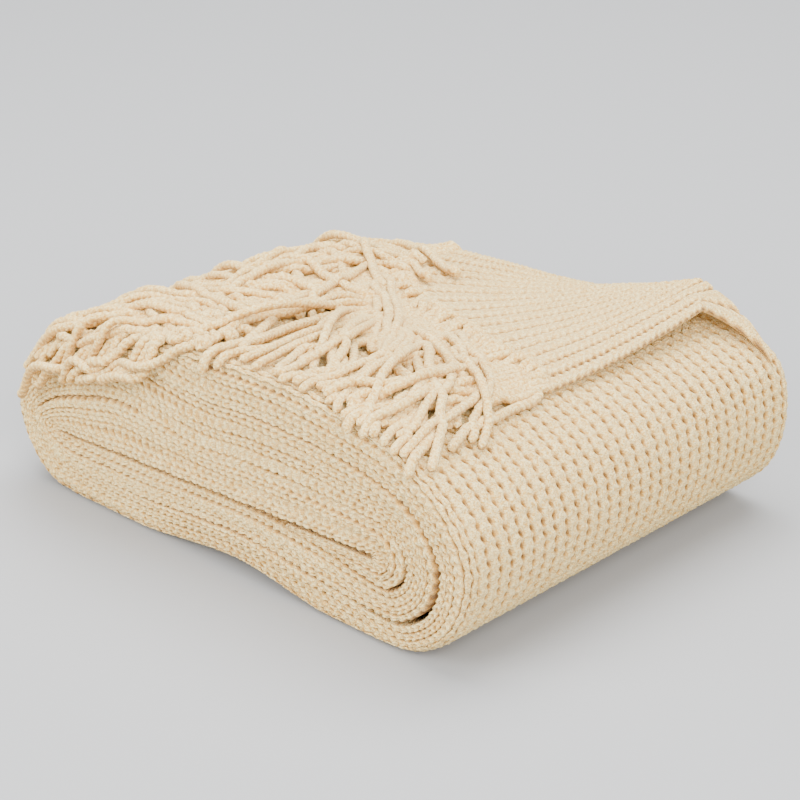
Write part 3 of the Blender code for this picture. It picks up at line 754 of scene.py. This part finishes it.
def build_loose_end(grid, material):
    """The fanned layer: ribbed on top, plain below, round at both selvages, closed at its ends."""
    columns = np.append(np.add.outer(np.arange(FLAP_RIBS), RIB_STEPS).ravel(), FLAP_RIBS)
    courses = round(FLAP_LENGTH / COURSE)
    rows = np.append(np.add.outer(np.arange(courses), COURSE_STEPS).ravel(), courses)
    across = np.broadcast_to((columns[None, :] / FLAP_RIBS) ** FAN_SPREAD,
                             (len(rows), len(columns)))
    along = np.broadcast_to(rows[:, None] / courses, across.shape)
    plan = fan_plan(across, along)
    base = look_up(grid, plan[..., 0], plan[..., 1]) + fan_lift(across, along)
    over_rim = np.clip((plan[..., 1] - RIM_FROM) / EDGE_ROUNDING, 0.0, MOST_OVER_RIM)
    beside = smooth_step((plan[..., 0] - BESIDE_FROM) / BESIDE_OVER)
    base -= beside * EDGE_ROUNDING * (1.0 - np.sqrt(1.0 - over_rim ** 2))
    middle = np.concatenate((plan, (base + LAYER_THICKNESS / 2)[..., None]), axis=-1)
    normal = grid_normals(middle)
    normal *= np.where(normal[..., 2:] < 0, -1.0, 1.0)
    rib = np.broadcast_to(columns[None, :], across.shape)
    course = np.broadcast_to(rows[:, None] + 0.5, across.shape)
    height, painted_shade_and_tone, sway = knit(rib, course, SEEDS["loose_end_cloth"], LOOSE_RISE, LOOSE_PIT)
    # Painted shade of pits and furrows, made stronger on the loose end.
    painted_shade_and_tone = np.clip(painted_shade_and_tone * LOOSE_SHADE_GAIN, 0.0, 1.0)
    side = unit(np.gradient(middle, axis=1))
    edge = np.minimum(rib, FLAP_RIBS - rib) / SELVAGE_ROUNDING
    round_edge = np.sqrt(np.clip(1.0 - (1.0 - np.clip(edge, 0.0, 1.0)) ** 2, 0.0, 1.0))
    top = middle + normal * (LAYER_THICKNESS / 2 * round_edge + height * round_edge)[..., None]
    top += side * (sway * RIB_PITCH * LOOSE_SWAY)[..., None]
    low = middle - normal * (LAYER_THICKNESS / 2 * round_edge)[..., None]
    sheets = np.concatenate((top, low[:, ::-1][:, 1:-1]), axis=1)
    # Painted shade on the lower face, which faces the roll.
    under = np.full((len(rows), len(columns) - 2), UNDERSIDE_SHADE)
    painted_shades = np.concatenate((painted_shade_and_tone, under), axis=1)
    count = sheets.shape[1]
    quads = grid_faces(len(rows), count)
    last = np.arange(len(rows)) * count
    seam = faces_between(np.column_stack((last + count - 1, last)))
    upper = np.arange(1, len(columns) - 1)
    lid = faces_between(np.array((upper, 2 * len(columns) - 2 - upper)))
    quads = np.vstack((quads, seam, lid, lid[:, ::-1] + last[-1]))
    return make_piece("loose_end_cloth", sheets.reshape(-1, 3), quads, painted_shades, material)


def even_shares(count):
    """Shares across the loose end that lie evenly along its fringed edge."""
    shares = np.linspace(0.0, 1.0, 201)
    edge = fan_plan(shares, 1.0)
    walked = np.append(0.0, np.cumsum(np.hypot(*np.diff(edge, axis=0).T)))
    return np.interp((np.arange(count) + 0.5) / count * walked[-1], walked, shares)


def root_point(across):
    """Plan point where a strand starts, just inside the loose end's edge."""
    return fan_plan(across, ROOT_ALONG)


def wander(root, start, end, length, chance):
    """Plan route of a strand: its heading turns early from start to end, then sways."""
    start, end = math.radians(start), math.radians(end)
    sway = math.radians(chance.uniform(*STRAND_SWAY)) * chance.choice((-1, 1))
    phase = chance.uniform(0.0, 1.0)
    waves = chance.uniform(*STRAND_WAVES)
    turned_by = chance.uniform(*TURNED_BY)
    points = [np.array(root)]
    stride = length / (STRAND_NODES - 1)
    for step in range(STRAND_NODES - 1):
        share = (step + 0.5) / (STRAND_NODES - 1)
        heading = start + (end - start) * float(smooth_step(share / turned_by))
        heading += sway * share * math.sin(2 * math.pi * (waves * share + phase))
        points.append(points[-1] + stride * np.array((math.cos(heading), math.sin(heading))))
    return np.array(points)


def kept_inside(plan, near_limit, chance):
    """Shorten a route that would hang far over the roll's near or left side."""
    low_x = LEFT_LIMIT + LEFT_SPREAD * chance.random()
    low_y = near_limit + NEAR_SPREAD * chance.random()
    high_x = RIGHT_LIMIT + RIGHT_SPREAD * chance.random()
    past = (plan[:, 0] < low_x) | (plan[:, 1] < low_y) | (plan[:, 0] > high_x)
    if not past.any():
        return plan
    stop = max(int(np.argmax(past)), LEAST_STEPS)
    places = np.linspace(0.0, stop, STRAND_NODES)
    return np.column_stack([np.interp(places, range(STRAND_NODES), plan[:, axis])
                            for axis in (0, 1)])


def upper_plans():
    """Plan routes of the strands at the end of the loose layer."""
    chance = random.Random(SEEDS["upper_plans"])
    plans = []
    for across in even_shares(UPPER_STRANDS):
        start = np.interp(across, *ROOT_HEADINGS)
        end = np.interp(across, *TIP_HEADINGS)
        start += chance.uniform(*ROOT_SPREAD)
        end += chance.uniform(*TIP_SPREAD)
        length = chance.uniform(*UPPER_LENGTHS) + MIDDLE_EXTRA * math.sin(math.pi * across)
        plan = wander(root_point(across), start, end, length, chance)
        plans.append(kept_inside(plan, UPPER_LIMIT, chance))
    return plans


def lower_plans():
    """Plan routes of the strands that fall over the roll's left shoulder."""
    chance = random.Random(SEEDS["lower_plans"])
    plans = []
    for number in range(LOWER_STRANDS):
        share = ((number + 0.5) / LOWER_STRANDS) ** LOWER_CROWDING
        root = (chance.uniform(*LOWER_ROOT_X),
                LOWER_ROOT_Y[0] + (LOWER_ROOT_Y[1] - LOWER_ROOT_Y[0]) * share)
        freedom = LEAST_FREEDOM + (1.0 - LEAST_FREEDOM) * share
        start = LOWER_ROOT_HEADING + chance.uniform(*LOWER_ROOT_SPREAD) * freedom
        end = LOWER_TIP_HEADING + chance.uniform(*LOWER_TIP_SPREAD) * freedom
        length = chance.uniform(*LOWER_LENGTHS)
        plan = wander(root, start, end, length, chance)
        plans.append(kept_inside(plan, LOWER_LIMIT, chance))
    return plans


def over_the_rim(grid):
    """A height grid whose near rim is round, with nothing to rest on beyond it."""
    past = np.clip((-RIM_FROM - GRID_Y) / EDGE_ROUNDING, 0.0, PAST_RIM)
    drop = EDGE_ROUNDING * (1.0 - np.sqrt(1.0 - past ** 2))
    drop += RIM_DROP * smooth_step((-HALF_LENGTH - GRID_Y) / RIM_DROP_OVER)
    return grid - drop[:, None]


def raised_by_ball(grid, radius):
    """A height grid raised so that a ball of the radius rests on it at that height."""
    reach = int(radius / GRID_STEP) + 1
    raised = grid + radius
    for i in range(-reach, reach + 1):
        for j in range(-reach, reach + 1):
            away = math.hypot(i, j) * GRID_STEP
            if 0.0 < away < radius:
                moved = np.roll(np.roll(grid, i, axis=0), j, axis=1)
                raised = np.maximum(raised, moved + math.sqrt(radius ** 2 - away ** 2))
    return raised


def with_loose_end(grid, cloth_grid):
    """A height grid of the roll's top with the loose layer lying on it."""
    across, along = np.meshgrid(np.linspace(0, 1, COVER_ACROSS), np.linspace(0, 1, COVER_ALONG))
    plan = fan_plan(across, along)
    top = look_up(cloth_grid, plan[..., 0], plan[..., 1]) + fan_lift(across, along)
    i = np.round((plan[..., 0] - GRID_X[0]) / GRID_STEP).astype(int)
    j = np.round((plan[..., 1] - GRID_Y[0]) / GRID_STEP).astype(int)
    covered = grid.copy()
    np.maximum.at(covered, (j, i), top + LAYER_THICKNESS)
    return covered


def close_pairs(flat, owner, order, reach):
    """Pairs of strand nodes that are near each other and not neighbours on one strand."""
    points = flat.astype(np.float32)
    squares = (points ** 2).sum(axis=1)
    distance = squares[:, None] + squares[None, :] - 2.0 * points @ points.T
    first, second = np.nonzero(np.triu(distance < reach ** 2, 1))
    apart = (owner[first] != owner[second]) | (np.abs(order[first] - order[second]) > NEIGHBOURS)
    return first[apart], second[apart]


def keep_lengths(strands, lengths):
    """Bring neighbouring nodes back to their distances."""
    for start in (0, 1, 0, 1):
        a, b = strands[:, start:-1:2], strands[:, start + 1::2]
        gap = b - a
        size = np.linalg.norm(gap, axis=-1, keepdims=True)
        wanted = lengths[:, start::2][..., None]
        shift = gap * (0.5 * (size - wanted) / np.maximum(size, 1e-9))
        a += shift
        b -= shift


def push_apart(flat, first, second, reach):
    """Part the nodes that press into each other."""
    gap = flat[second] - flat[first]
    size = np.linalg.norm(gap, axis=1)
    touching = size < reach
    one, two = first[touching], second[touching]
    push = gap[touching] / np.maximum(size[touching], 1e-6)[:, None]
    push *= (0.5 * (reach - size[touching]))[:, None]
    move = np.zeros_like(flat)
    met = np.zeros(len(flat))
    for nodes, way in ((one, -push), (two, push)):
        np.add.at(move, nodes, way)
        np.add.at(met, nodes, 1.0)
    flat += move / np.maximum(met, 1.0)[:, None] * PUSH


def rest_on(flat, grid, held):
    """Lift nodes out of what lies below, and aside too where it is steep."""
    ground = look_up(grid, flat[:, 0], flat[:, 1]) + held
    step = SLOPE_STEP
    slope_x = (look_up(grid, flat[:, 0] + step, flat[:, 1]) + held - ground) / step
    slope_y = (look_up(grid, flat[:, 0], flat[:, 1] + step) + held - ground) / step
    grip = smooth_step((np.hypot(slope_x, slope_y) - GRIP_FROM) / GRIP_OVER)
    slope_x = np.clip(slope_x * grip, -STEEPEST, STEEPEST)
    slope_y = np.clip(slope_y * grip, -STEEPEST, STEEPEST)
    under = np.maximum(ground - flat[:, 2], 0.0) / (1.0 + slope_x ** 2 + slope_y ** 2)
    flat[:, 0] -= under * slope_x
    flat[:, 1] -= under * slope_y
    flat[:, 2] += under
    flat[:, 1] = np.maximum(flat[:, 1], NEAR_WALL)


def settle(strands, arches, grid):
    """Let strands fall: they keep their length, bend gently and rest on what is below."""
    count, nodes = strands.shape[:2]
    share = np.linspace(0.0, 1.0, nodes)
    held = (arches[:, None] * np.sin(math.pi * share ** ARCH_SKEW) ** 2).ravel()
    lengths = np.linalg.norm(np.diff(strands[..., :2], axis=1), axis=-1)
    owner = np.repeat(np.arange(count), nodes)
    order = np.tile(np.arange(nodes), count)
    fixed = strands[:, :PINNED_NODES].copy()
    reach = 2.0 * STRAND_RADIUS
    for number in range(SETTLING_ROUNDS):
        falling = number < SETTLING_ROUNDS * FALLING_SHARE
        strands[:, PINNED_NODES:, 2] -= FALL if falling else LAST_FALL
        eased = 0.5 * (strands[:, :-2] + strands[:, 2:]) - strands[:, 1:-1]
        strands[:, 1:-1] += STIFFNESS * eased
        keep_lengths(strands, lengths)
        flat = strands.reshape(-1, 3)
        if number % NEARBY_EVERY == 0:
            first, second = close_pairs(flat, owner, order, reach + NEARBY)
        push_apart(flat, first, second, reach)
        rest_on(flat, grid, held)
        strands = flat.reshape(count, nodes, 3)
        strands[:, :PINNED_NODES] = fixed
    return strands


def strand_heights(plans, grid, roots, chance):
    """Starting points of strands a little above what they will fall on."""
    result = []
    for number, plan in enumerate(plans):
        ground = np.maximum(look_up(grid, plan[:, 0], plan[:, 1]), LOWEST_TOP)
        lift = number % STACKED * STACK_STEP * STRAND_RADIUS + chance.uniform(*DROP_FROM)
        rise = smooth_step(np.arange(STRAND_NODES) / RISING_NODES)
        heights = roots[number] + (ground + lift - roots[number]) * rise
        heights = np.where(rise < 1.0, np.maximum(heights, roots[number]), heights)
        result.append(np.column_stack((plan, heights)))
    return np.array(result)


def build_strands(name, strands, radii, material):
    """Round yarns along their nodes, twisted from two plies, with blunt ends."""
    chance = np.random.default_rng(SEEDS[name])
    steps = (STRAND_NODES - 1) * STRAND_RINGS
    share = np.linspace(0.0, 1.0, steps + 1)
    angle = np.arange(STRAND_SIDES) / STRAND_SIDES * 2 * math.pi
    cosine, sine = np.cos(angle)[None, :, None], np.sin(angle)[None, :, None]
    # Painted shade on each strand's lower side.
    painted_underside_shade = smooth_step(UNDERSIDE_SHADE_FROM - UNDERSIDE_SHADE_FADE * np.sin(angle))
    points, quads, painted_shades = [], [], []
    for number, (strand, radius) in enumerate(zip(strands, radii)):
        line = open_curve(strand, share)
        walked = np.append(0.0, np.cumsum(np.linalg.norm(np.diff(line, axis=0), axis=1)))
        ahead = unit(np.gradient(line, axis=0))
        side = unit(np.cross(ahead, (0.0, 0.0, 1.0)))
        up = np.cross(side, ahead)
        ply = np.sin(2 * angle[None, :] + 2 * math.pi * walked[:, None] / STRAND_TWIST)
        rough = chance.uniform(-1, 1, (steps + 1, STRAND_SIDES))
        girth = radius * (1.0 + PLY_RELIEF * ply + PILE_RELIEF * rough)
        girth[0] *= ROOT_GIRTH
        girth[-1] *= TIP_GIRTH
        around = cosine * side[:, None] + sine * up[:, None]
        ring = line[:, None, :] + girth[..., None] * around
        butt = line[0] - ahead[0] * radius * CAP_LENGTH
        tip = line[-1] + ahead[-1] * radius * CAP_LENGTH
        caps = [np.repeat(end[None], STRAND_SIDES, axis=0)[None] for end in (butt, tip)]
        ring = np.concatenate((caps[0], ring, caps[1]))
        index = np.arange(len(ring) * STRAND_SIDES).reshape(len(ring), STRAND_SIDES)
        index = np.concatenate((index, index[:, :1]), axis=1)
        quads.append(faces_between(index + number * len(ring) * STRAND_SIDES))
        points.append(ring.reshape(-1, 3))
        # Painted shade: tan in the ply's valleys and thin spots, and more on the lower side.
        painted_yarn_shade = (YARN_SHADES["plain"] - YARN_SHADES["ply"] * ply - YARN_SHADES["rough"] * rough
                  + YARN_SHADES["painted_underside_shade"] * painted_underside_shade)
        painted_yarn_shade = np.clip(painted_yarn_shade, 0.0, 1.0)
        painted_shades.append(np.concatenate((painted_yarn_shade[:1], painted_yarn_shade, painted_yarn_shade[-1:])).ravel())
    return make_piece(name, np.vstack(points), np.vstack(quads), np.concatenate(painted_shades),
                      material)


def build_fringes(cloth_grid, material):
    """Both fringes, settled together so that they lie on each other."""
    chance = random.Random(SEEDS["fringes"])
    bare = blurred(height_grid(0.0), 1)
    ground = raised_by_ball(with_loose_end(over_the_rim(bare), cloth_grid), STRAND_RADIUS)
    upper, lower = upper_plans(), lower_plans()
    roots = np.array([root_point(across) for across in even_shares(UPPER_STRANDS)])
    upper_roots = look_up(cloth_grid, *roots.T) + ROOT_DEPTH * LAYER_THICKNESS
    lower_roots = look_up(ground, *np.array([plan[0] for plan in lower]).T)
    low = strand_heights(lower, ground, lower_roots, chance)
    high = strand_heights(upper, ground, upper_roots, chance)
    strands = np.concatenate((low, high))
    arches = np.array([chance.choice(ARCHES) for _ in strands])
    settled = settle(strands, arches, ground)
    radii = [STRAND_RADIUS * chance.uniform(*THICKNESS_SPREAD) for _ in settled]
    cut = len(lower)
    low = build_strands("lower_fringe_strands", settled[:cut], radii[:cut], material)
    high = build_strands("upper_fringe_strands", settled[cut:], radii[cut:], material)
    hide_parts("lower_fringe")
    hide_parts("upper_fringe")
    return high


def main():
    """The throw's nine pieces."""
    cloth = chenille("knitted_chenille", CLOTH_FUZZ)
    yarn = chenille("fringe_yarn", YARN_FUZZ)
    fine = (RIB_STEPS, COURSE_STEPS, cloth)
    top = build_skin("outer_turn_top", STRIP_START, TOP_TO, *fine)
    nose = build_skin("outer_turn_front", TOP_TO, FRONT_TO, *fine)
    under = build_skin("outer_turn_under", FRONT_TO, UNDER_TO, COARSE_RIBS, THIRDS, cloth)
    left = build_skin("outer_turn_left", UNDER_TO, LEFT_TO, COARSE_RIBS, QUARTERS, cloth)
    near = build_turn_edges("turn_edges_near", -1, EDGE_STEPS, FIFTHS, cloth)
    far = build_turn_edges("turn_edges_far", 1, QUARTERS, THIRDS, cloth)
    for piece in (top, nose, under, left, near, far):
        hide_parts("rolled_throw")
    grid = blurred(height_grid(CLOTH_CLEARANCE), 2)
    loose = build_loose_end(grid, cloth)
    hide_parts("loose_end")
    upper = build_fringes(grid, yarn)


def relief_group():
    """Shared effect: a yarn's mottled colour, with painted shade and cream specks that are partly
    painted glints, and its fuzzy surface height.
    """
    group = bpy.data.node_groups.new("chenille_pile", "ShaderNodeTree")
    sockets = group.interface
    sockets.new_socket("Coordinate", in_out="INPUT", socket_type="NodeSocketVector")
    sockets.new_socket("PaintedShadeAndTone", in_out="INPUT", socket_type="NodeSocketFloat")
    sockets.new_socket("Colour", in_out="OUTPUT", socket_type="NodeSocketColor")
    sockets.new_socket("Height", in_out="OUTPUT", socket_type="NodeSocketFloat")
    nodes, links = group.nodes, group.links
    entry = nodes.new("NodeGroupInput")
    leave = nodes.new("NodeGroupOutput")

    tufts = nodes.new("ShaderNodeTexVoronoi")
    tufts.inputs["Scale"].default_value = TUFTS_SCALE
    fuzz = nodes.new("ShaderNodeTexNoise")
    fuzz.inputs["Scale"].default_value = FUZZ_SCALE
    fuzz.inputs["Detail"].default_value = 4.0
    fuzz.inputs["Roughness"].default_value = FUZZ_ROUGHNESS
    patches = nodes.new("ShaderNodeTexNoise")
    patches.inputs["Scale"].default_value = PATCHES_SCALE
    patches.inputs["Detail"].default_value = 2.0
    for pattern in (tufts, fuzz, patches):
        links.new(entry.outputs["Coordinate"], pattern.inputs["Vector"])

    # Mottled tan and cream specks of the pile; the cream ones are partly painted glints.
    grain_and_glints = nodes.new("ShaderNodeValToRGB")
    grain_and_glints.color_ramp.elements[0].position = GRAIN_AND_GLINT_FROM
    grain_and_glints.color_ramp.elements[0].color = TAN
    grain_and_glints.color_ramp.elements[1].position = GRAIN_AND_GLINT_TO
    grain_and_glints.color_ramp.elements[1].color = CREAM
    links.new(fuzz.outputs["Fac"], grain_and_glints.inputs["Fac"])
    colour = grain_and_glints.outputs["Color"]
    # Warm patches are real tone; the gold and the brown are painted shade, laid on by the
    # per-vertex value.
    masks = (patches.outputs["Fac"], entry.outputs["PaintedShadeAndTone"], entry.outputs["PaintedShadeAndTone"])
    for mask, (over, low, high, most) in zip(masks, OVERLAYS):
        share = nodes.new("ShaderNodeMapRange")
        share.inputs["From Min"].default_value = low
        share.inputs["From Max"].default_value = high
        share.inputs["To Max"].default_value = most
        links.new(mask, share.inputs["Value"])
        mix = nodes.new("ShaderNodeMix")
        mix.data_type = "RGBA"
        mix.inputs["B"].default_value = over
        links.new(share.outputs["Result"], mix.inputs["Factor"])
        links.new(colour, mix.inputs["A"])
        colour = mix.outputs["Result"]
    links.new(colour, leave.inputs["Colour"])

    rise = nodes.new("ShaderNodeMath")
    rise.operation = "SUBTRACT"
    links.new(fuzz.outputs["Fac"], rise.inputs[0])
    links.new(tufts.outputs["Distance"], rise.inputs[1])
    links.new(rise.outputs["Value"], leave.inputs["Height"])
    return group


def chenille(name, strength):
    """Matt cream chenille, fuzzy, with painted shade, gold to brown, in its pits, furrows and
    lower sides.
    """
    material = bpy.data.materials.new(name)
    material.use_nodes = True
    tree = material.node_tree
    nodes, links = tree.nodes, tree.links
    shader = nodes["Principled BSDF"]
    shader.inputs["Roughness"].default_value = 0.92
    shader.inputs["Specular IOR Level"].default_value = 0.25
    shader.inputs["Sheen Weight"].default_value = 0.28
    shader.inputs["Sheen Tint"].default_value = SHEEN_TINT
    shader.inputs["Sheen Roughness"].default_value = 0.5
    place = nodes.new("ShaderNodeTexCoord")
    painted_shade_and_tone = nodes.new("ShaderNodeAttribute")
    painted_shade_and_tone.attribute_name = "painted_shade_and_tone"
    pile = nodes.new("ShaderNodeGroup")
    pile.node_tree = bpy.data.node_groups.get("chenille_pile") or relief_group()
    links.new(place.outputs["Object"], pile.inputs["Coordinate"])
    links.new(painted_shade_and_tone.outputs["Fac"], pile.inputs["PaintedShadeAndTone"])
    links.new(pile.outputs["Colour"], shader.inputs["Base Color"])
    bump = nodes.new("ShaderNodeBump")
    bump.inputs["Strength"].default_value = strength
    bump.inputs["Distance"].default_value = BUMP_DISTANCE
    links.new(pile.outputs["Height"], bump.inputs["Height"])
    links.new(bump.outputs["Normal"], shader.inputs["Normal"])
    return material


def build_stage():
    """A plain pale floor that curves up behind."""
    profile = [(FLOOR_NEAR, 0.0), (FLOOR_BEND, 0.0)]
    for step in range(1, BEND_STEPS + 1):
        angle = step / BEND_STEPS * math.pi / 2
        profile.append((FLOOR_BEND + BEND_RADIUS * math.sin(angle),
                        BEND_RADIUS - BEND_RADIUS * math.cos(angle)))
    profile.append((FLOOR_BEND + BEND_RADIUS, WALL_TOP))
    back = math.radians(CAMERA_AZIMUTH)
    away = np.array((-math.sin(back), math.cos(back)))
    side = np.array((away[1], -away[0]))
    points = []
    for distance, height in profile:
        for width in (-FLOOR_HALF_WIDTH, FLOOR_HALF_WIDTH):
            plan = away * distance + side * width
            points.append((plan[0], plan[1], height))
    quads = grid_faces(len(profile), 2)
    mesh = bpy.data.meshes.new("floor")
    mesh.from_pydata(points, [], quads.tolist())
    for polygon in mesh.polygons:
        polygon.use_smooth = True
    floor = bpy.data.objects.new("floor", mesh)
    bpy.context.scene.collection.objects.link(floor)
    material = bpy.data.materials.new("pale_floor")
    material.use_nodes = True
    shader = material.node_tree.nodes["Principled BSDF"]
    shader.inputs["Base Color"].default_value = FLOOR_GREY
    shader.inputs["Roughness"].default_value = 0.9
    mesh.materials.append(material)


def area_light(name, location, target, size, power):
    """A soft rectangular lamp that looks at a point."""
    lamp = bpy.data.lights.new(name, "AREA")
    lamp.shape = "SQUARE"
    lamp.size = size
    lamp.energy = power
    item = bpy.data.objects.new(name, lamp)
    item.location = location
    ahead = Vector(target) - Vector(location)
    item.rotation_euler = ahead.to_track_quat("-Z", "Y").to_euler()
    bpy.context.scene.collection.objects.link(item)


def build_light():
    """Plain soft studio light: a bright room and large lamps."""
    world = bpy.data.worlds.new("room")
    world.use_nodes = True
    ground = world.node_tree.nodes["Background"]
    ground.inputs["Color"].default_value = (1.0, 1.0, 1.0, 1.0)
    ground.inputs["Strength"].default_value = ROOM_LIGHT
    bpy.context.scene.world = world
    for lamp in LAMPS:
        area_light(*lamp)


def build_camera():
    """The photograph's viewpoint."""
    azimuth = math.radians(CAMERA_AZIMUTH)
    elevation = math.radians(CAMERA_ELEVATION)
    back = Vector((math.sin(azimuth) * math.cos(elevation),
                   -math.cos(azimuth) * math.cos(elevation), math.sin(elevation)))
    right = Vector((math.cos(azimuth), math.sin(azimuth), 0.0))
    up = back.cross(right)
    place = Vector(CAMERA_TARGET) + back * CAMERA_DISTANCE
    place -= right * CAMERA_OFFSET[0] + up * CAMERA_OFFSET[1]
    lens = bpy.data.cameras.new("camera")
    lens.sensor_width = SENSOR
    lens.lens = SENSOR * FOCAL_PIXELS / PICTURE_SIZE
    lens.clip_start = 0.01
    camera = bpy.data.objects.new("camera", lens)
    turn = Matrix((right, up, back)).transposed()
    camera.matrix_world = Matrix.Translation(place) @ turn.to_4x4()
    bpy.context.scene.collection.objects.link(camera)
    bpy.context.scene.camera = camera


main()
build_stage()
build_light()
build_camera()
